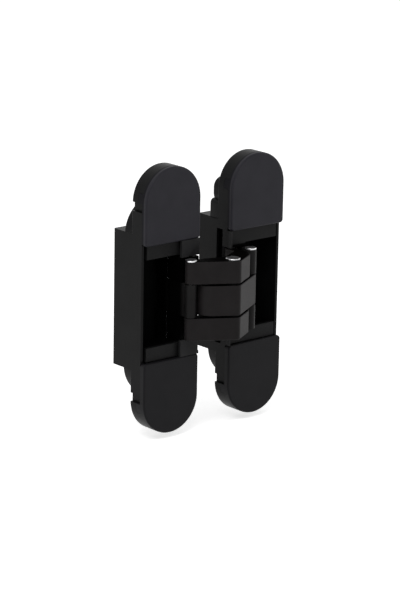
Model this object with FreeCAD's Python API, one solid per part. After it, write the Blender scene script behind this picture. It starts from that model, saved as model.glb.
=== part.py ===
import FreeCAD, Part
import math
import os

# Concealed door hinge, three-way interleaved levers, shown open at 180 degrees.
# Frame: X across the two bodies, Y into the door edge, Z up along the door axis.
# Millimetres. The parts are laid out about a plane midway between the bodies, with the front
# of the covers at Y 0, first on the door side (X positive), then turned or mirrored to the
# frame side. Saving moves the origin to the frame side's screws, on the back of the flange.

os.makedirs("parts", exist_ok=True)
Vec = FreeCAD.Vector

# Heights of the levers, which set all other heights
middle_half = 6.3          # half height of the middle lever
level_space = 0.9          # between the levers, filled by washers
fork_height = 9.3          # each of the two outer levers
lever_room = 2.0           # above and below the levers in their opening
block_height = 5.7         # end blocks of the carriages
block_room = 2.8           # free height of the end blocks in the box
ear_length = 12.2
boss_off = 2.4             # boss above the ear's pocket
shoulder_off = 3.25
fixing_off = 8.5
clip_off = 9.1
fixing_in = 5.5            # screw hole beyond the centre of the body's round end

# Bodies
body_width = 28.5
body_gap = 16.6            # between the bodies when the door is open at 180 degrees
box_depth = 20.7           # deep middle box
flange_depth = 9.0         # thin end lobes
shoulder_depth = 14.2      # round-ended middle tier
neck_inset = 1.3           # the flange steps in beside the shoulder's end
neck_run = 3.75
shoulder_edge = 1.2        # rounding of the shoulder's and the boss's back
flange_edge = 0.5
side_wall = 1.2
back_wall = 1.2
end_wall = 1.5
window_back = 9.2          # front edge of the inner side wall behind the levers
cheek_depth = 1.2          # frame side's plate in front of the pivot column
cheek_width = 9.7
cheek_side = 5.5           # depth of the cheeks' side walls
cheek_wall_door = 0.7      # thin, so that the levers can fold in beside it
cheek_room = 0.9           # the cheeks stay this far above the levers
cheek_slant = 6.2          # run of the slanting cut on the frame side's cheek
cheek_facet = 1.5          # depth of the slanting cut
cheek_root = 1.5           # the cheek's side runs on under the cover
corner_round = 0.8

# Covers
cover_gap = 0.2            # above the end blocks
cover_plate = 1.6
cover_skirt = 2.6          # the housing's face lies this deep
skirt_wall = 1.2
cover_edge_round = 0.7
cover_corner_round = 1.4
tab_height = 4.0           # side tabs that hook over the flange
tab_depth = 5.4
tab_room = 0.1
clip_width = 3.0
clip_thickness = 1.3
clip_depth = 7.2
clip_side = 4.65           # clips from the sides of the body

# Fixing screws
fixing_hole = 5.2
fixing_head = 9.6
boss_round = 4.4
boss_in = 4.7              # boss centre from the inner side
boss_run = 2.4             # straight stretch of the boss
boss_depth = 12.8

# Pivots, in plan
pivot_in = 3.4             # main pivot from the inner side of its body
pivot_depth = 4.0
centre_front = 10.9        # centre pivot in front of the covers
eye_out = 15.97            # visible rocker pivot from the mirror plane
eye_front = 3.46
anchor_out = 15.4          # rocker anchor in the carriage
anchor_depth = 9.6
rocker_length = 13.48
rocker_lean = 0.29
rocker_play = 0.96         # how far the open pivot strays over the travel

# Levers
face_angle = 30.4
eye_round = 2.4
knuckle_round = 2.4
fold_round = 2.5
shoulder_round = 6.5
lever_reach = 13.4         # outer side of a lever's own end
neck_reach = 12.1
neck_front = 1.6
neck_round = 1.0
back_offset = 4.75         # back of the lever behind the centre pivot
back_round = 3.0
rocker_half_width = 1.6
anchor_round = 2.0
level_gap = 0.3
lever_edge = 0.2
tine_rise = 0.4            # the door side's rockers stand above the fork levers

# Pins and washers
main_pin = 3.0
centre_pin = 4.0
centre_bush = 5.6
eye_pin = 2.4
anchor_pin = 2.2
eye_head = 4.7
centre_head = 5.9
head_height = 0.6
head_dome = 0.25
running_fit = 0.04
pressed_fit = 0.01
washer_gap = 0.05
centre_washer = 6.2
main_washer = 4.6

# Carriages
block_front = 1.9
column_front_frame = 0.5
column_front_door = 1.6
block_back = 12.0
column_off_wall = 2.3      # free depth behind the pivot column
column_out = 9.3           # outer side of the pivot column from the inner side of the body
column_in_frame = 0.3      # its inner side, at the levers
column_in_door = 1.1
deep_in_frame = 2.4        # its inner side, behind the cheek and before the back wall
deep_in_door = 1.45
block_side = 1.1           # room between block and outer wall
spine_depth = 3.4
spine_width = 5.6
pin_hold = 0.4             # main pin short of the column's end
ear_side = 7.45            # ears from the sides of the body
ear_front = 3.2
ear_back = 6.8
ear_round = 1.5
lateral_travel = 1.0
height_travel = 2.0
anchor_hold = 1.0          # rocker pin beyond the opening

# Clamp screws
clamp_from_end = 6.4       # screw from the end of the ear
clamp_pin = 4.0
clamp_head = 6.4
clamp_head_height = 1.75
clamp_sunk = 0.2           # the head lies this deep in its counterbore
clamp_lift = 0.05          # free play under the head
clamp_hex = 2.5
clamp_hex_depth = 1.1
clamp_length = 7.2
clamp_bite = 6.0           # depth of the tapped hole
slot_room = 0.2
pocket_room = 0.1
floor_room = 0.4
over = 1.0                 # cutters run past the metal by this much
tiny = 0.01                # faces this close lie in one plane
nothing = 1e-6             # stretches this short are left out

# Worked out
side_in = body_gap / 2
side_out = side_in + body_width
side_mid = side_in + body_width / 2
end_radius = body_width / 2
fork_low = middle_half + level_space
fork_high = fork_low + fork_height
opening_half = fork_high + lever_room
carriage_half = opening_half + block_height
room_half = carriage_half + block_room
box_half = room_half + end_wall
column_back = box_depth - back_wall - column_off_wall
spine_front = column_back - spine_depth
ear_end = carriage_half + ear_length
tap_end = ear_back + floor_room + clamp_bite
pocket_end = ear_end + height_travel + pocket_room
clamp_rise = ear_end - clamp_from_end
boss_rise = pocket_end + boss_off
shoulder_half = pocket_end + shoulder_off
fixing_rise = pocket_end + fixing_off
clip_rise = pocket_end + clip_off
top = fixing_rise - fixing_in + end_radius
cover_low = carriage_half + cover_gap
cheek_low = fork_high + cheek_room
tine_high = fork_high + tine_rise
ear_half = body_width / 2 - ear_side
pivot_x = side_in + pivot_in
slope = math.radians(face_angle)


def rounded_face(corners):
    """Face in the XY plane from corners (x, y, radius), with tangent arcs at the corners."""
    count = len(corners)
    stretches = []
    for i in range(count):
        before = Vec(*corners[i - 1][:2], 0)
        here = Vec(*corners[i][:2], 0)
        after = Vec(*corners[(i + 1) % count][:2], 0)
        radius = corners[i][2]
        if radius <= 0:
            stretches.append((here, None, here))
            continue
        back = (before - here).normalize()
        ahead = (after - here).normalize()
        half = back.getAngle(ahead) / 2
        reach = radius / math.tan(half)
        bisector = (back + ahead).normalize()
        middle = here + bisector * (radius / math.sin(half) - radius)
        stretches.append((here + back * reach, middle, here + ahead * reach))
    edges = []
    for i in range(count):
        start, middle, end = stretches[i]
        if middle is not None:
            edges.append(Part.Arc(start, middle, end).toShape())
        following = stretches[(i + 1) % count][0]
        if (following - end).Length > nothing:
            edges.append(Part.LineSegment(end, following).toShape())
    return Part.Face(Part.Wire(edges))


def plan_prism(corners, low, high):
    """Prism with its outline in plan, between two heights."""
    face = rounded_face(corners)
    face.translate(Vec(0, 0, low))
    return face.extrude(Vec(0, 0, high - low))


def front_prism(corners, front, back):
    """Prism with its outline seen from the front, as (x, z, radius), between two depths."""
    solid = rounded_face(corners).extrude(Vec(0, 0, front - back))
    solid.rotate(Vec(0, 0, 0), Vec(1, 0, 0), 90)
    solid.translate(Vec(0, front, 0))
    return solid


def box(x0, x1, y0, y1, z0, z1):
    return Part.makeBox(x1 - x0, y1 - y0, z1 - z0, Vec(x0, y0, z0))


def round_bar(x, y, radius, low, high):
    return Part.makeCylinder(radius, high - low, Vec(x, y, low), Vec(0, 0, 1))


def bore(x, z, radius, front, back):
    return Part.makeCylinder(radius, back - front, Vec(x, front, z), Vec(0, 1, 0))


def stadium(inset, half, front, back):
    """Round-ended slab, seen from the front, centred on the door-side body."""
    reach = half - end_radius
    slab = box(side_in + inset, side_out - inset, front, back, -reach, reach)
    ends = [bore(side_mid, z, end_radius - inset, front, back) for z in (-reach, reach)]
    return slab.multiFuse(ends).removeSplitter()


def mirrored(shape):
    """The same piece on the frame side."""
    return shape.mirror(Vec(0, 0, 0), Vec(1, 0, 0))


def turned(shape):
    """The same piece on the frame side, upside down, as one casting serves both bodies."""
    other = shape.copy()
    other.rotate(Vec(0, 0, 0), Vec(0, 1, 0), 180)
    return other


def flipped(shape):
    """The same piece below mid height."""
    return shape.mirror(Vec(0, 0, 0), Vec(0, 0, 1))


def both_levels(shape):
    return Part.makeCompound([shape, flipped(shape)])


def slot(x, z, radius, run_x, run_z, front, back):
    """Slot with round ends along X or Z, cut from the front."""
    if run_x > 0:
        middle = box(x - run_x, x + run_x, front, back, z - radius, z + radius)
        ends = [bore(x - run_x, z, radius, front, back), bore(x + run_x, z, radius, front, back)]
    else:
        middle = box(x - radius, x + radius, front, back, z - run_z, z + run_z)
        ends = [bore(x, z - run_z, radius, front, back), bore(x, z + run_z, radius, front, back)]
    return middle.multiFuse(ends)


def tab_ring(clearance):
    """Band round the flange where the cover's side tabs sit."""
    low = shoulder_half - clearance
    high = shoulder_half + tab_height + clearance
    band = stadium(0, top, cover_skirt - clearance, tab_depth + clearance)
    core = stadium(skirt_wall + clearance, top, 0, box_depth)
    window = box(0, 2 * side_out, 0, box_depth, low, high)
    return band.cut(core).common(window)


def clip_bar(x, z, room, front, back):
    """A cover's clip, or with some room the hole for it."""
    wide = clip_width / 2 + room
    thick = clip_thickness / 2 + room
    return box(x - wide, x + wide, front, back, z - thick, z + thick)


def clip_places():
    return [(side_in + clip_side, clip_rise), (side_out - clip_side, clip_rise)]


def back_rounded(solid, depth, radius):
    """Rounds the edges that lie in the plane at this depth."""
    edges = [e for e in solid.Edges if abs(e.BoundBox.YMin - depth) < tiny and e.BoundBox.YLength < tiny]
    return solid.makeFillet(radius, edges)


def housing(cheek):
    """Cast body: deep box, round shoulder, thin end lobes, screw boss, cheeks beside the levers."""
    flange = back_rounded(stadium(0, top, cover_skirt, flange_depth), flange_depth, flange_edge)
    shoulder = stadium(0, shoulder_half, cover_skirt, shoulder_depth)
    deep = box(side_in, side_out, cover_skirt, box_depth, -box_half, box_half)
    long_edges = [e for e in deep.Edges if e.BoundBox.YMin > box_depth - tiny and e.BoundBox.ZLength > tiny]
    boss_x = side_in + boss_in
    boss_low = boss_rise - boss_run
    ends = [bore(boss_x, z, boss_round, cover_skirt, boss_depth) for z in (boss_low, boss_rise)]
    boss = box(boss_x - boss_round, boss_x + boss_round, cover_skirt, boss_depth, boss_low, boss_rise)
    boss = back_rounded(boss.multiFuse(ends).removeSplitter(), boss_depth, shoulder_edge)
    solid = deep.makeFillet(corner_round, long_edges)
    solid = solid.multiFuse([flange, back_rounded(shoulder, shoulder_depth, shoulder_edge), boss])
    for sign in (-1, 1):
        z0, z1 = sorted((sign * (shoulder_half - neck_run), sign * shoulder_half))
        solid = solid.cut(box(side_out - neck_inset, side_out + over, 0, shoulder_depth + over, z0, z1))
        if sign < 0:
            solid = solid.cut(box(side_in - over, side_in + neck_inset, 0, shoulder_depth + over, z0, z1))
    solid = hollow(solid)
    for sign in (-1, 1):
        solid = solid.fuse(cheek if sign > 0 else flipped(cheek))
        tapped = bore(side_mid, sign * clamp_rise, clamp_pin / 2 + running_fit, cover_skirt, tap_end)
        solid = solid.cut(tapped)
        solid = solid.cut(fixing_bore(side_mid, sign * fixing_rise, flange_depth))
        ring = tab_ring(tab_room)
        solid = solid.cut(ring if sign > 0 else flipped(ring))
        for x, z in clip_places():
            hole = clip_bar(x, z, slot_room, 0, flange_depth + over)
            solid = solid.cut(hole if sign > 0 else flipped(hole))
    solid = solid.cut(fixing_bore(boss_x, boss_rise, boss_depth))
    return solid.removeSplitter()


def ear_shape(half, inner_z, outer_z, front, back):
    """Flat ear with two round outer corners."""
    corners = [(side_mid - half, inner_z, 0), (side_mid + half, inner_z, 0),
               (side_mid + half, outer_z, ear_round), (side_mid - half, outer_z, ear_round)]
    return front_prism(corners, front, back)


def hollow(solid):
    """Takes out the room for the carriage, the side window and the pockets for its ears."""
    inner = side_in + side_wall
    back = box_depth - back_wall
    solid = solid.cut(box(inner, side_out - side_wall, 0, back, -room_half, room_half))
    solid = solid.cut(box(side_in - over, inner + over, 0, window_back, -cover_low, cover_low))
    pocket_half = ear_half + lateral_travel + pocket_room
    for sign in (-1, 1):
        inner_z = sign * (room_half - over)
        outer_z = sign * pocket_end
        solid = solid.cut(ear_shape(pocket_half, inner_z, outer_z, 0, ear_back + floor_room))
    return solid


def side_cheek(wall):
    """Side wall beside the upper lever, running on under the cover."""
    side = box(side_in, side_in + wall, 0, cheek_side, cheek_low, cover_low)
    root = box(side_in, side_in + wall, cover_skirt, cheek_side, cover_low - over, cover_low + cheek_root)
    return side.fuse(root)


def plate_cheek():
    """Side wall with a plate in front of the pivot column and a slanting cut at its lower corner."""
    plate = box(side_in, side_in + cheek_width, 0, cheek_depth, cheek_low, cover_low)
    start = carriage_half - over
    reach = side_in + cheek_slant
    corners = [(side_in - over, cheek_low - over, 0), (reach, cheek_low - over, 0), (reach, cheek_low, 0),
               (side_in, start, 0), (side_in - over, start, 0)]
    return plate.fuse(side_cheek(side_wall)).cut(front_prism(corners, -over, cheek_facet))


def fixing_bore(x, z, depth):
    """Countersunk screw hole through the housing."""
    sink = (fixing_head - fixing_hole) / 2
    hole = bore(x, z, fixing_hole / 2, 0, depth + over)
    cone = Part.makeCone(fixing_head / 2, fixing_hole / 2, sink, Vec(x, cover_skirt, z), Vec(0, 1, 0))
    relief = bore(x, z, fixing_head / 2, 0, cover_skirt)
    return hole.multiFuse([cone, relief])


def cover():
    """Snap-on end cover, upper one of the door side."""
    outline = stadium(0, top, 0, cover_plate)
    keep = front_prism([(side_in, cover_low, cover_corner_round), (side_out, cover_low, cover_corner_round),
                        (side_out, top + over, 0), (side_in, top + over, 0)], -over, box_depth)
    plate = outline.common(keep)
    front_edges = [e for e in plate.Edges if e.BoundBox.YMax < tiny]
    plate = plate.makeFillet(cover_edge_round, front_edges)

    skirt = stadium(0, top, cover_plate, cover_skirt).cut(stadium(skirt_wall, top, 0, box_depth))
    skirt = skirt.common(keep)
    pieces = [skirt, tab_ring(0)]
    for x, z in clip_places():
        pieces.append(clip_bar(x, z, 0, cover_plate, clip_depth))
    return plate.multiFuse(pieces).removeSplitter()


def lever_outline():
    """Plan outline of a lever whose own pivot is on the door side."""
    front_left = Vec(-math.sin(slope), -math.cos(slope), 0)
    eye = Vec(-eye_out, -eye_front, 0)
    start = eye + front_left * eye_round
    apex_y = start.y + start.x * math.tan(slope)
    reach_y = apex_y + lever_reach * math.tan(slope)
    back_y = -centre_front + back_offset
    inner_x = pivot_x - knuckle_round
    inner_y = back_y + inner_x * math.tan(slope)
    span = math.hypot(eye_out, back_y + eye_front)
    lean = math.atan2(-eye_front - back_y, eye_out) + math.asin(eye_round / span)
    back_end = eye + Vec(math.sin(lean), math.cos(lean), 0) * eye_round
    return [(start.x, start.y, 0), (0, apex_y, fold_round), (lever_reach, reach_y, shoulder_round),
            (neck_reach, -neck_front, neck_round),
            (pivot_x + knuckle_round / 2, pivot_depth - knuckle_round / 2, 0),
            (pivot_x, pivot_depth, 0), (inner_x, pivot_depth, 0), (inner_x, inner_y, neck_round),
            (0, back_y, back_round), (back_end.x, back_end.y, 0), (eye.x, eye.y, 0)]


def lever(low, high, centre_hole, pivot_hole, eye_hole):
    """Flat lever between two heights, with its three pivot holes."""
    solid = plan_prism(lever_outline(), low, high)
    solid = solid.fuse(round_bar(-eye_out, -eye_front, eye_round, low, high))
    solid = solid.fuse(round_bar(pivot_x, pivot_depth, knuckle_round, low, high)).removeSplitter()
    rims = [e for e in solid.Edges if e.BoundBox.ZLength < tiny]
    solid = solid.makeChamfer(lever_edge, rims)
    holes = [round_bar(0, -centre_front, centre_hole, low - over, high + over),
             round_bar(pivot_x, pivot_depth, pivot_hole, low - over, high + over),
             round_bar(-eye_out, -eye_front, eye_hole, low - over, high + over)]
    for hole in holes:
        solid = solid.cut(hole)
    return solid


def anchor_end():
    """Where the rocker's inner end stands when the door is open."""
    return eye_out + rocker_lean, -eye_front + rocker_length


def rocker(low, high):
    """Short link from a lever's eye to the carriage, door side."""
    end_x, end_y = anchor_end()
    corners = [(eye_out - rocker_half_width, -eye_front, 0), (eye_out + rocker_half_width, -eye_front, 0),
               (end_x + rocker_half_width, end_y, 0), (end_x - rocker_half_width, end_y, 0)]
    solid = plan_prism(corners, low, high)
    solid = solid.fuse(round_bar(eye_out, -eye_front, eye_round, low, high))
    solid = solid.fuse(round_bar(end_x, end_y, anchor_round, low, high)).removeSplitter()
    solid = solid.cut(round_bar(eye_out, -eye_front, eye_pin / 2 + running_fit, low - over, high + over))
    return solid.cut(round_bar(end_x, end_y, anchor_pin / 2 + pressed_fit, low - over, high + over))


def headed_pin(x, y, diameter, low, high, head):
    """Pin with a low domed head on top."""
    cap = round_bar(x, y, head / 2, high, high + head_height)
    rim = [e for e in cap.Edges if e.BoundBox.ZMin > high + head_height - tiny]
    return round_bar(x, y, diameter / 2, low, high).fuse(cap.makeFillet(head_dome, rim))


def washer(x, y, bore_diameter, diameter):
    """Thin washer in the space between the middle level and the fork level."""
    low = middle_half + washer_gap
    high = fork_low - washer_gap
    ring = round_bar(x, y, diameter / 2, low, high)
    return ring.cut(round_bar(x, y, bore_diameter / 2 + running_fit, low - over, high + over))


def carriage(inset, deep_inset, column_front, levels, run_x, run_z):
    """Insert that carries the pivots, door side: end blocks, pivot column, back spine and ears."""
    inner = side_in + inset
    deep_in = side_in + deep_inset
    outer = side_out - side_wall - block_side
    column_side = side_in + column_out
    parts = []
    for sign in (-1, 1):
        z0, z1 = sorted((sign * opening_half, sign * carriage_half))
        parts.append(box(max(deep_in, inner), outer, block_front, block_back, z0, z1))
        inner_z = sign * (carriage_half - over)
        outer_z = sign * ear_end
        parts.append(ear_shape(ear_half, inner_z, outer_z, ear_front, ear_back))
    for low, high in levels:
        parts.append(box(inner, column_side, column_front, column_back, low, high))
    spine_out = deep_in + spine_width
    parts.append(box(deep_in, spine_out, spine_front, column_back, -carriage_half, carriage_half))
    solid = parts[0].multiFuse(parts[1:])
    step_half = carriage_half + over
    edge = window_back - level_gap
    solid = solid.cut(box(inner - over, deep_in, edge, column_back + over, -step_half, step_half))
    for sign in (-1, 1):
        z0, z1 = sorted((sign * (fork_high + level_gap), sign * step_half))
        solid = solid.cut(box(inner - over, deep_in, 0, window_back, z0, z1))
        solid = solid.cut(box(inner - over, column_side + over, 0, block_front, z0, z1))
    anchor_hole = anchor_pin / 2 + rocker_play + level_gap / 2
    anchor_half = opening_half + anchor_hold + lever_room / 2
    solid = solid.cut(round_bar(anchor_out, anchor_depth, anchor_hole, -anchor_half, anchor_half))
    for sign in (-1, 1):
        z = sign * clamp_rise
        head_room = clamp_head / 2 + slot_room
        solid = solid.cut(slot(side_mid, z, clamp_pin / 2 + slot_room, run_x, run_z, 0, ear_back + over))
        solid = solid.cut(slot(side_mid, z, head_room, run_x, run_z, 0, clamp_seat()))
    return solid


def pin_bored(solid, half):
    """The carriage with its pressed hole for the main pin."""
    hole = round_bar(pivot_x, pivot_depth, main_pin / 2 + pressed_fit, -half, half)
    return solid.cut(hole).removeSplitter()


def clamp_seat():
    return ear_front + clamp_head_height + clamp_sunk + clamp_lift


def clamp_screw():
    """Socket screw that clamps the carriage's upper ear, door side."""
    seat = clamp_seat() - clamp_lift
    face = seat - clamp_head_height
    head = bore(side_mid, clamp_rise, clamp_head / 2, face, seat)
    rim = [e for e in head.Edges if e.BoundBox.YMax < seat - clamp_head_height / 2]
    head = head.makeFillet(head_dome, rim)
    shaft = bore(side_mid, clamp_rise, clamp_pin / 2, seat - clamp_lift, seat + clamp_length)
    radius = clamp_hex / math.sqrt(3)
    corners = []
    for i in range(6):
        angle = math.radians(60 * i)
        corners.append((side_mid + radius * math.cos(angle), clamp_rise + radius * math.sin(angle), 0))
    return head.fuse(shaft).cut(front_prism(corners, 0, face + clamp_hex_depth))


def save(shape, name):
    """Moves one sub-part to the stored origin and writes it, after a check that it is sound."""
    if not shape.isValid():
        raise RuntimeError(name + " is not a valid shape")
    placed = shape.copy()
    placed.translate(Vec(side_mid, -flange_depth, 0))
    placed.exportStep("parts/" + name + ".step")
    print(name, "solids", len(placed.Solids), "volume", round(placed.Volume, 1))


def build_housings():
    lid = cover()
    screws = both_levels(clamp_screw())
    save(housing(side_cheek(cheek_wall_door)), "housing_door_side")
    save(turned(housing(plate_cheek())), "housing_frame_side")
    save(lid, "cover_upper_door_side")
    save(flipped(lid), "cover_lower_door_side")
    save(turned(flipped(lid)), "cover_upper_frame_side")
    save(turned(lid), "cover_lower_frame_side")
    save(screws, "clamp_screws_door_side")
    save(mirrored(screws), "clamp_screws_frame_side")


def main_bar(half):
    return round_bar(pivot_x, pivot_depth, main_pin / 2, -half, half)


def build_carriages():
    frame_half = fork_high + level_gap
    levels = [(fork_low, carriage_half), (-carriage_half, -fork_low)]
    frame_side = carriage(column_in_frame, deep_in_frame, column_front_frame, levels, lateral_travel, 0)
    save(mirrored(pin_bored(frame_side, frame_half + over)), "carriage_frame_side")
    save(mirrored(main_bar(frame_half - pin_hold)), "main_pin_frame_side")
    end_lug = tine_high + level_gap
    levels = [(-middle_half, middle_half), (end_lug, carriage_half), (-carriage_half, -end_lug)]
    door_side = carriage(column_in_door, deep_in_door, column_front_door, levels, 0, height_travel)
    save(pin_bored(door_side, carriage_half + over), "carriage_door_side")
    save(main_bar(carriage_half - pin_hold), "main_pin_door_side")
    washers = both_levels(washer(pivot_x, pivot_depth, main_pin, main_washer))
    save(washers, "main_washers_door_side")
    save(mirrored(washers), "main_washers_frame_side")


def build_levers():
    main_hole = main_pin / 2 + running_fit
    eye_tight = eye_pin / 2 + pressed_fit
    fork = lever(fork_low, fork_high, centre_pin / 2 + pressed_fit, main_hole, eye_tight)
    save(fork, "fork_lever_upper")
    save(flipped(fork), "fork_lever_lower")
    middle = lever(-middle_half, middle_half, centre_bush / 2 + pressed_fit, main_hole, eye_tight)
    save(mirrored(middle), "middle_lever")
    save(headed_pin(0, -centre_front, centre_pin, -fork_high, fork_high, centre_head), "centre_pin")
    bush = round_bar(0, -centre_front, centre_bush / 2, -middle_half, middle_half)
    hole = round_bar(0, -centre_front, centre_pin / 2 + running_fit, -fork_low, fork_low)
    save(bush.cut(hole), "centre_bush")
    save(both_levels(washer(0, -centre_front, centre_pin, centre_washer)), "centre_washers")
    save(headed_pin(-eye_out, -eye_front, eye_pin, -fork_high, fork_high, eye_head), "eye_pin_frame_side")
    save(headed_pin(eye_out, -eye_front, eye_pin, -tine_high, tine_high, eye_head), "eye_pin_door_side")


def build_rockers():
    end_x, end_y = anchor_end()
    frame_half = fork_low - level_gap
    save(mirrored(rocker(-frame_half, frame_half)), "rocker_frame_side")
    tine = rocker(middle_half + level_gap, tine_high)
    save(tine, "rocker_upper_door_side")
    save(flipped(tine), "rocker_lower_door_side")
    pin_half = opening_half + anchor_hold
    pin = round_bar(end_x, end_y, anchor_pin / 2, -pin_half, pin_half)
    save(pin, "rocker_pin_door_side")
    save(mirrored(pin), "rocker_pin_frame_side")


build_housings()
build_carriages()
build_levers()
build_rockers()
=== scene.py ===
import math
import bmesh
import bpy
from mathutils import Matrix, Vector


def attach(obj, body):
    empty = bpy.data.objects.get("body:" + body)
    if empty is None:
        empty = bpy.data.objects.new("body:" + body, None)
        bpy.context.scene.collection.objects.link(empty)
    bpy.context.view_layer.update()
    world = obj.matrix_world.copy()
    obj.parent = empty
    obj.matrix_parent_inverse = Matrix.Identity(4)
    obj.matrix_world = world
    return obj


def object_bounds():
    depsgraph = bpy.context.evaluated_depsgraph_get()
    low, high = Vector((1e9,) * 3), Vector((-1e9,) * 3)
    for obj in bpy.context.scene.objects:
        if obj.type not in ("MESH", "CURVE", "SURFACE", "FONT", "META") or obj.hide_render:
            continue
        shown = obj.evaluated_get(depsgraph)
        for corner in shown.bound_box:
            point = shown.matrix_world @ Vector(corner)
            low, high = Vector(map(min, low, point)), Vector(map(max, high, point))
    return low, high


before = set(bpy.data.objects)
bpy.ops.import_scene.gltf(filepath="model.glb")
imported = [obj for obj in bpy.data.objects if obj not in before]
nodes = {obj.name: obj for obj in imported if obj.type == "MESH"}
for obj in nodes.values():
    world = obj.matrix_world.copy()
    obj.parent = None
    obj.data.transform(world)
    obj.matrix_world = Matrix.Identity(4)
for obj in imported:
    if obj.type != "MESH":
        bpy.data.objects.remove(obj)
cad_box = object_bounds()

# The origin of the sizes below: midway between the bodies, on the covers' front
centre_plane = Vector((0.02255, -0.009, 0))


# Materials
FLAT_FROM, FLAT_FULL = 0.80, 0.97      # upward part of a face's normal
OPENING_FADE = 0.0004
DRIFT_SCALE, DRIFT_DETAIL = 120, 3     # slow change of a paint's colour
GRAIN_DETAIL = 5
MARKS_SCALE, MARKS_DETAIL = 900, 6     # tool marks of bare metal


def new_material(name):
    mat = bpy.data.materials.new(name)
    mat.use_nodes = True
    tree = mat.node_tree
    shader = next(n for n in tree.nodes if n.type == "BSDF_PRINCIPLED")
    return mat, tree, shader


def noise(tree, scale, detail, stretch=None):
    coords = tree.nodes.new("ShaderNodeTexCoord")
    field = tree.nodes.new("ShaderNodeTexNoise")
    field.inputs["Scale"].default_value = scale
    field.inputs["Detail"].default_value = detail
    source = coords.outputs["Object"]
    if stretch:
        mapping = tree.nodes.new("ShaderNodeMapping")
        mapping.inputs["Scale"].default_value = stretch
        tree.links.new(source, mapping.inputs["Vector"])
        source = mapping.outputs["Vector"]
    tree.links.new(source, field.inputs["Vector"])
    return field.outputs["Fac"]


def ramp(tree, source, low, high):
    node = tree.nodes.new("ShaderNodeValToRGB")
    for element, position, colour in zip(node.color_ramp.elements, (0.3, 0.7), (low, high)):
        element.position = position
        element.color = (*colour, 1)
    tree.links.new(source, node.inputs["Fac"])
    return node.outputs["Color"]


def spread(tree, source, low, high):
    """Stretches nothing to one over these two values."""
    node = tree.nodes.new("ShaderNodeMapRange")
    node.inputs["To Min"].default_value = low
    node.inputs["To Max"].default_value = high
    tree.links.new(source, node.inputs["Value"])
    return node.outputs["Result"]


def between(tree, source, low, high):
    """Nothing up to the first value, one from the second on."""
    node = tree.nodes.new("ShaderNodeMapRange")
    node.inputs["From Min"].default_value = low
    node.inputs["From Max"].default_value = high
    tree.links.new(source, node.inputs["Value"])
    return node.outputs["Result"]


def math_node(tree, operation, first, second=None):
    node = tree.nodes.new("ShaderNodeMath")
    node.operation = operation
    tree.links.new(first, node.inputs[0])
    if second is not None:
        tree.links.new(second, node.inputs[1])
    return node.outputs[0]


def along(tree, kind, axis):
    """One axis of the object's own coordinates or normal."""
    coords = tree.nodes.new("ShaderNodeTexCoord")
    split = tree.nodes.new("ShaderNodeSeparateXYZ")
    tree.links.new(coords.outputs[kind], split.inputs["Vector"])
    return split.outputs[axis]


def bump(tree, shader, source, strength, distance):
    node = tree.nodes.new("ShaderNodeBump")
    node.inputs["Strength"].default_value = strength
    node.inputs["Distance"].default_value = distance
    tree.links.new(source, node.inputs["Height"])
    tree.links.new(node.outputs["Normal"], shader.inputs["Normal"])


def flat_faces(tree):
    """One on faces that look straight up or down, nothing on the upright ones."""
    upright = math_node(tree, "ABSOLUTE", along(tree, "Normal", "Z"))
    return between(tree, upright, FLAT_FROM, FLAT_FULL)


def depth(tree, start, end):
    """Nothing in front of the first depth behind the covers' front, one behind the second."""
    return between(tree, along(tree, "Object", "Y"), centre_plane.y + start, centre_plane.y + end)


def in_opening(tree, factor, half):
    """The factor, and one at every depth between the levers' heights."""
    height = math_node(tree, "ABSOLUTE", along(tree, "Object", "Z"))
    inside = between(tree, height, half, half - OPENING_FADE)
    return math_node(tree, "MAXIMUM", inside, factor)


def darker(tree, colour, factor, shade):
    """The colour, multiplied by a shade where the factor is one."""
    mix = tree.nodes.new("ShaderNodeMixRGB")
    mix.blend_type = "MULTIPLY"
    mix.inputs["Color2"].default_value = (shade, shade, shade, 1)
    tree.links.new(factor, mix.inputs["Fac"])
    tree.links.new(colour, mix.inputs["Color1"])
    return mix.outputs["Color"]


def coated(name, low, high, rough, grain, relief, specular, flat_painted_shade=None, dark_depth=None,
           deep_shade=None, duller=True, dark_half=None):
    """Painted casting or moulded plastic: slight colour drift, grain in gloss and relief.
    Flat faces, or else the paint behind a depth and in the levers' opening, can be darker and duller:
    painted shade for the levers, rockers, carriages and housing, and only a darker side for the covers."""
    mat, tree, shader = new_material(name)
    colour = ramp(tree, noise(tree, DRIFT_SCALE, DRIFT_DETAIL), low, high)
    shader.inputs["Specular IOR Level"].default_value = specular
    shade, factor = flat_painted_shade, None
    # painted shade on the flat faces: darker and duller
    if flat_painted_shade is not None:
        factor = flat_faces(tree)
    elif dark_depth:
        factor = depth(tree, *dark_depth)
        shade = deep_shade
        if dark_half:
            factor = in_opening(tree, factor, dark_half)
    if factor is not None:
        colour = darker(tree, colour, factor, shade)
        if duller:
            dull = spread(tree, factor, specular, specular * shade)
            tree.links.new(dull, shader.inputs["Specular IOR Level"])
    tree.links.new(colour, shader.inputs["Base Color"])
    fine = noise(tree, grain, GRAIN_DETAIL)
    tree.links.new(spread(tree, fine, rough - 0.05, rough + 0.07), shader.inputs["Roughness"])
    bump(tree, shader, fine, relief, 0.0002)
    return mat


def steel(name, low, high, rough, stretch, flat_painted_shade=None):
    """Turned or ground metal with fine tool marks."""
    mat, tree, shader = new_material(name)
    marks = noise(tree, MARKS_SCALE, MARKS_DETAIL, stretch)
    colour = ramp(tree, marks, low, high)
    # painted shade on the flat faces: darker
    if flat_painted_shade is not None:
        colour = darker(tree, colour, flat_faces(tree), flat_painted_shade)
    tree.links.new(colour, shader.inputs["Base Color"])
    tree.links.new(spread(tree, marks, rough - 0.08, rough + 0.1), shader.inputs["Roughness"])
    shader.inputs["Metallic"].default_value = 1.0
    bump(tree, shader, marks, 0.12, 0.0001)
    return mat


# Painted shade in the recess: the housing's paint is darker behind 1.2 mm to 2.4 mm depth, so the front
# plates stay lighter than the inside
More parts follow.
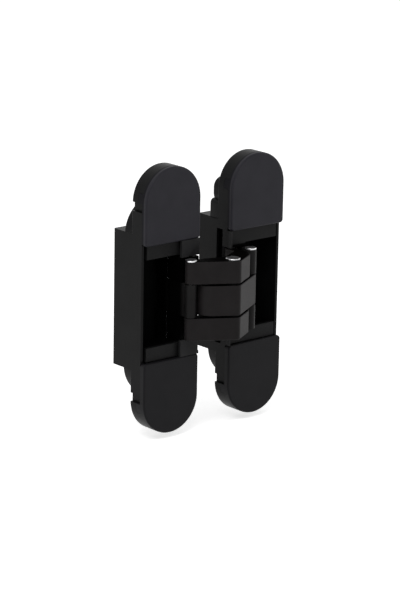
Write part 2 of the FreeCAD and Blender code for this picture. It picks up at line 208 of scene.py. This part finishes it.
paint_housing = coated(
    "housing_paint", (0.0107, 0.0107, 0.0111), (0.0186, 0.0186, 0.0193), 0.34, 2600, 0.12, 0.065,
    dark_depth=(0.0012, 0.0024), deep_shade=0.28, duller=False)
# Painted shade on the levers' flat faces: darker and duller than their sides
paint_lever = coated(
    "lever_paint", (0.0112, 0.0101, 0.0103), (0.0154, 0.0138, 0.0141), 0.42, 2600, 0.10, 0.05,
    flat_painted_shade=0.08)
# The rockers' paint is the levers' paint with painted shade: darker all over because they sit in the
# recess, and darker still going back past the covers' front
paint_shaded_rocker = coated(
    "rocker_shaded_paint", (0.0075, 0.0072, 0.0072), (0.0105, 0.0100, 0.0100), 0.42, 2600, 0.10, 0.07,
    dark_depth=(-0.0008, 0.0012), deep_shade=0.12)
# Painted shade inside: the carriages' paint is darker behind 2.2 mm to 4.5 mm depth, and at every depth
# in the levers' opening
paint_carriage = coated(
    "carriage_paint", (0.0050, 0.0050, 0.0052), (0.0080, 0.0080, 0.0082), 0.44, 2600, 0.12, 0.08,
    dark_depth=(0.0022, 0.0045), deep_shade=0.12, dark_half=0.0184)
plastic_cool = coated(
    "cover_plastic_cool", (0.0135, 0.0130, 0.0170), (0.0170, 0.0163, 0.0210), 0.46, 4200, 0.10, 0.12,
    dark_depth=(0.0014, 0.0018), deep_shade=0.4)
# The lower covers' plastic is the upper covers' plastic made darker: painted shade, because less light
# falls on the lower covers
plastic_lower_shaded = coated(
    "cover_plastic_lower_shaded", (0.0038, 0.0037, 0.0045), (0.0057, 0.0055, 0.0066), 0.46, 4200, 0.10, 0.10)
washer_plastic = coated(
    "washer_plastic", (0.002, 0.002, 0.002), (0.004, 0.004, 0.004), 0.6, 3000, 0.1, 0.03)
# Painted shade on the pins' flat end faces: darker than the metal at their rims
bare_steel = steel("pin_steel", (0.60, 0.60, 0.61), (0.72, 0.72, 0.73), 0.30, (1, 1, 8), flat_painted_shade=0.75)
black_steel = steel("screw_steel", (0.05, 0.05, 0.05), (0.09, 0.09, 0.09), 0.35, (1, 8, 1))
bronze = steel("bush_bronze", (0.30, 0.20, 0.09), (0.42, 0.30, 0.16), 0.38, (1, 1, 8))

# Material and rounding of the edges, by the first words of a node's name
CAST_EDGE = 0.00030
COVER_EDGE = 0.00008
LEVER_EDGE = 0.00018
FINISHES = (
    ("housing", paint_housing, CAST_EDGE),
    ("cover_upper", plastic_cool, COVER_EDGE),
    ("cover_lower", plastic_lower_shaded, COVER_EDGE),
    ("carriage", paint_carriage, LEVER_EDGE),
    ("clamp", black_steel, 0),
    ("main_pin", black_steel, 0),
    ("main_washers", washer_plastic, 0),
    ("centre_washers", washer_plastic, 0),
    ("centre_bush", bronze, LEVER_EDGE),
    ("centre_pin", bare_steel, 0),
    ("eye_pin", bare_steel, 0),
    ("rocker_pin", bare_steel, 0),
    ("rocker", paint_shaded_rocker, LEVER_EDGE),
    ("middle_lever", paint_lever, LEVER_EDGE),
    ("fork_lever", paint_lever, LEVER_EDGE),
)
SHARP_ANGLE = math.radians(35)


def dress_nodes():
    for name, obj in nodes.items():
        material, width = next((m, w) for words, m, w in FINISHES if name.startswith(words))
        obj.data.materials.clear()
        obj.data.materials.append(material)
        if width > 0:
            soft = obj.modifiers.new("soft_edges", "BEVEL")
            soft.width = width
            soft.segments = 2
            soft.limit_method = "ANGLE"
            soft.angle_limit = SHARP_ANGLE
            soft.harden_normals = True
            soft.use_clamp_overlap = True


def place(x, y, z):
    return Vector((x, y, z)) + centre_plane


def cast_piece(name, mesh_bm, smooth):
    """A piece of the castings' paint from this mesh."""
    mesh = bpy.data.meshes.new(name)
    mesh_bm.to_mesh(mesh)
    mesh_bm.free()
    if smooth:
        for polygon in mesh.polygons:
            polygon.use_smooth = True
        mesh.set_sharp_from_angle(angle=SHARP_ANGLE)
    mesh.materials.append(paint_housing)
    piece = bpy.data.objects.new(name, mesh)
    bpy.context.scene.collection.objects.link(piece)
    return piece


# The cast plate beside the upper pin: the slanting step at its corner is shallow, not cut through
CHEEK_INNER = 0.0083
CHEEK_STEP = 0.0005
CHEEK_PLATE = 0.0012
CHEEK_WALL = 0.0012
CHEEK_CUT = 0.0015
CHEEK_RUN = 0.0062
CHEEK_LOW = 0.0174
CHEEK_HIGH = 0.0232
CHEEK_FACES = ("a1 c1 b1", "a1 a2 d2 d1 c2 c1", "a1 b1 b2 a2", "c1 c2 e1 e2 b2 b1",
               "d1 e1 c2", "d1 d2 e2 e1", "a2 b2 e2 d2")


def cheek_steps():
    """One closed solid at each end: a triangle as thick as the plate, deeper where the side wall is."""
    mesh_bm = bmesh.new()
    slope = (CHEEK_HIGH - CHEEK_LOW) / CHEEK_RUN
    inner = -CHEEK_INNER
    side = inner - CHEEK_WALL
    reach = inner - CHEEK_RUN
    through = (CHEEK_STEP, CHEEK_CUT)
    thin = (CHEEK_STEP, CHEEK_PLATE)
    behind = (CHEEK_PLATE, CHEEK_CUT)
    for sign in (-1, 1):
        low, high, cut = (sign * z for z in (CHEEK_LOW, CHEEK_HIGH, CHEEK_HIGH - slope * CHEEK_WALL))
        corners = (("a", inner, low, through), ("b", inner, high, through), ("c", reach, low, thin),
                   ("d", side, low, behind), ("e", side, cut, behind))
        at = {}
        for key, x, z, depths in corners:
            at[key + "1"], at[key + "2"] = (mesh_bm.verts.new(place(x, y, z)) for y in depths)
        for face in CHEEK_FACES:
            mesh_bm.faces.new([at[k] for k in face.split()])
    bmesh.ops.recalc_face_normals(mesh_bm, faces=mesh_bm.faces)
    piece = cast_piece("cheek_steps_frame_side", mesh_bm, smooth=False)
    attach(piece, "frame_side")


# The shoulder's straight shelf beside the screw boss, outside the shoulder's round end
SHELF_SIDE = 0.0083
SHELF_TOP = 0.0362
SHELF_CORNER = 0.0020
SHELF_FOOT = 0.0282
SHELF_FRONT = 0.0085
SHELF_BACK = 0.0142
ARC_X = 0.02255
ARC_Z = 0.0275
ARC_RADIUS = 0.01425
BACK_ROUND = 0.0012
CORNER_STEPS = 6
ARC_STEPS = 8


def shelf_outline():
    """Seen from the front: up the outer side and round its corner, then down along the shoulder's arc."""
    outer = [(SHELF_SIDE, SHELF_FOOT)]
    for i in range(CORNER_STEPS + 1):
        turn = math.pi - math.pi / 2 * i / CORNER_STEPS
        outer.append((SHELF_SIDE + SHELF_CORNER * (1 + math.cos(turn)),
                      SHELF_TOP - SHELF_CORNER * (1 - math.sin(turn))))
    radius = ARC_RADIUS - BACK_ROUND
    heights = [SHELF_TOP + (SHELF_FOOT - SHELF_TOP) * i / ARC_STEPS for i in range(ARC_STEPS + 1)]
    arc = [(ARC_X - math.sqrt(radius ** 2 - (z - ARC_Z) ** 2), z) for z in heights]
    return outer, arc


def shelf(body, sign):
    """The inner upper corner of the door side's body, or turned for the frame side's lower one."""
    outer, arc = shelf_outline()
    mesh_bm = bmesh.new()
    front, back = ([mesh_bm.verts.new(place(sign * x, y, sign * z)) for x, z in outer + arc]
                   for y in (SHELF_FRONT, SHELF_BACK))
    mesh_bm.faces.new(front)
    mesh_bm.faces.new(back[::-1])
    for i in range(len(front)):
        mesh_bm.faces.new([front[i], front[i - 1], back[i - 1], back[i]])
    bmesh.ops.recalc_face_normals(mesh_bm, faces=mesh_bm.faces)
    rim = back[:len(outer) + 1]
    edges = [e for e in mesh_bm.edges if e.verts[0] in rim and e.verts[1] in rim]
    bmesh.ops.bevel(mesh_bm, geom=edges, offset=BACK_ROUND, segments=5, profile=0.5, affect="EDGES",
                    clamp_overlap=True)
    piece = cast_piece("shoulder_shelf_" + body, mesh_bm, smooth=True)
    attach(piece, body)


# Floor and backdrop
FLOOR_HALF = 3.0
FLOOR_BELOW = 0.0025       # room for the height adjustment's travel
FLOOR_GREY = 0.86
FLOOR_GLOW = 0.62          # seen and mirrored only, so that the floor is white
SOFT_LIGHT = 0.5


def background_rays(tree):
    """One for rays that see the background directly, in a reflection or through glass."""
    path = tree.nodes.new("ShaderNodeLightPath")
    clear = math_node(tree, "MAXIMUM", path.outputs["Is Glossy Ray"], path.outputs["Is Transmission Ray"])
    return math_node(tree, "MAXIMUM", path.outputs["Is Camera Ray"], clear)


def backdrop():
    level = cad_box[0].z - FLOOR_BELOW
    corners = [(x * FLOOR_HALF, y * FLOOR_HALF, level) for x, y in ((-1, -1), (1, -1), (1, 1), (-1, 1))]
    mesh = bpy.data.meshes.new("floor")
    mesh.from_pydata(corners, [], [(0, 1, 2, 3)])
    floor = bpy.data.objects.new("floor", mesh)
    bpy.context.scene.collection.objects.link(floor)
    mat, tree, shader = new_material("floor_white")
    shader.inputs["Base Color"].default_value = (FLOOR_GREY, FLOOR_GREY, FLOOR_GREY, 1)
    shader.inputs["Roughness"].default_value = 0.9
    shader.inputs["Specular IOR Level"].default_value = 0.0
    shader.inputs["Emission Color"].default_value = (1, 1, 1, 1)
    glow = spread(tree, background_rays(tree), 0, FLOOR_GLOW)
    tree.links.new(glow, shader.inputs["Emission Strength"])
    mesh.materials.append(mat)


def world_light():
    world = bpy.data.worlds.new("studio")
    bpy.context.scene.world = world
    world.use_nodes = True
    tree = world.node_tree
    tree.nodes.clear()
    out = tree.nodes.new("ShaderNodeOutputWorld")
    mix = tree.nodes.new("ShaderNodeMixShader")
    tree.links.new(background_rays(tree), mix.inputs["Fac"])
    for socket, strength in ((1, SOFT_LIGHT), (2, 1.0)):
        light = tree.nodes.new("ShaderNodeBackground")
        light.inputs["Color"].default_value = (1, 1, 1, 1)
        light.inputs["Strength"].default_value = strength
        tree.links.new(light.outputs[0], mix.inputs[socket])
    tree.links.new(mix.outputs[0], out.inputs["Surface"])


# Name, place, width and height of the lamp, and its power
LAMPS = (
    ("key", (-0.45, -0.35, 0.8), (0.5, 0.5), 4.0),
    ("right_side", (0.95, -0.35, 0.25), (0.5, 0.8), 2.1),
    ("left_side", (-0.9, -0.1, 0.05), (0.25, 0.9), 0.8),
)


def lamp(name, spot, size, power):
    data = bpy.data.lights.new(name, "AREA")
    data.shape = "RECTANGLE"
    data.size, data.size_y = size
    data.energy = power
    obj = bpy.data.objects.new(name, data)
    bpy.context.scene.collection.objects.link(obj)
    obj.location = spot
    obj.rotation_mode = "QUATERNION"
    obj.rotation_quaternion = (centre_plane - Vector(spot)).to_track_quat("-Z", "Y")


# Camera, fitted to the photo's outlines: angles in degrees, lengths in metres
IMAGE_HEIGHT = 600
FOCAL = 2636.9             # in the image's pixels
SENSOR = 36.0              # in millimetres
AZIMUTH = 40.44
ELEVATION = 15.328
ROLL = 1.039
DISTANCE = 1.0810
TARGET_RIGHT = -0.006056
TARGET_UP = -0.003245


def camera():
    data = bpy.data.cameras.new("photo_camera")
    data.sensor_fit = "VERTICAL"
    data.sensor_height = SENSOR
    data.sensor_width = SENSOR
    data.lens = FOCAL / IMAGE_HEIGHT * SENSOR
    data.clip_start = 0.01
    data.clip_end = 20
    azimuth, elevation, roll = (math.radians(a) for a in (AZIMUTH, ELEVATION, ROLL))
    ahead = Vector((math.sin(azimuth) * math.cos(elevation), math.cos(azimuth) * math.cos(elevation),
                    -math.sin(elevation)))
    right = Vector((math.cos(azimuth), -math.sin(azimuth), 0))
    up = right.cross(ahead)
    spot = centre_plane + right * TARGET_RIGHT + Vector((0, 0, TARGET_UP)) - ahead * DISTANCE
    rolled_right = right * math.cos(roll) + up * math.sin(roll)
    rolled_up = up * math.cos(roll) - right * math.sin(roll)
    rotation = Matrix((rolled_right, rolled_up, -ahead)).transposed()
    obj = bpy.data.objects.new("photo_camera", data)
    bpy.context.scene.collection.objects.link(obj)
    obj.matrix_world = Matrix.Translation(spot) @ rotation.to_4x4()
    bpy.context.scene.camera = obj


dress_nodes()
cheek_steps()
shelf("door_side", 1)
shelf("frame_side", -1)
backdrop()
world_light()
for values in LAMPS:
    lamp(*values)
camera()
bpy.context.scene.view_settings.view_transform = "Standard"
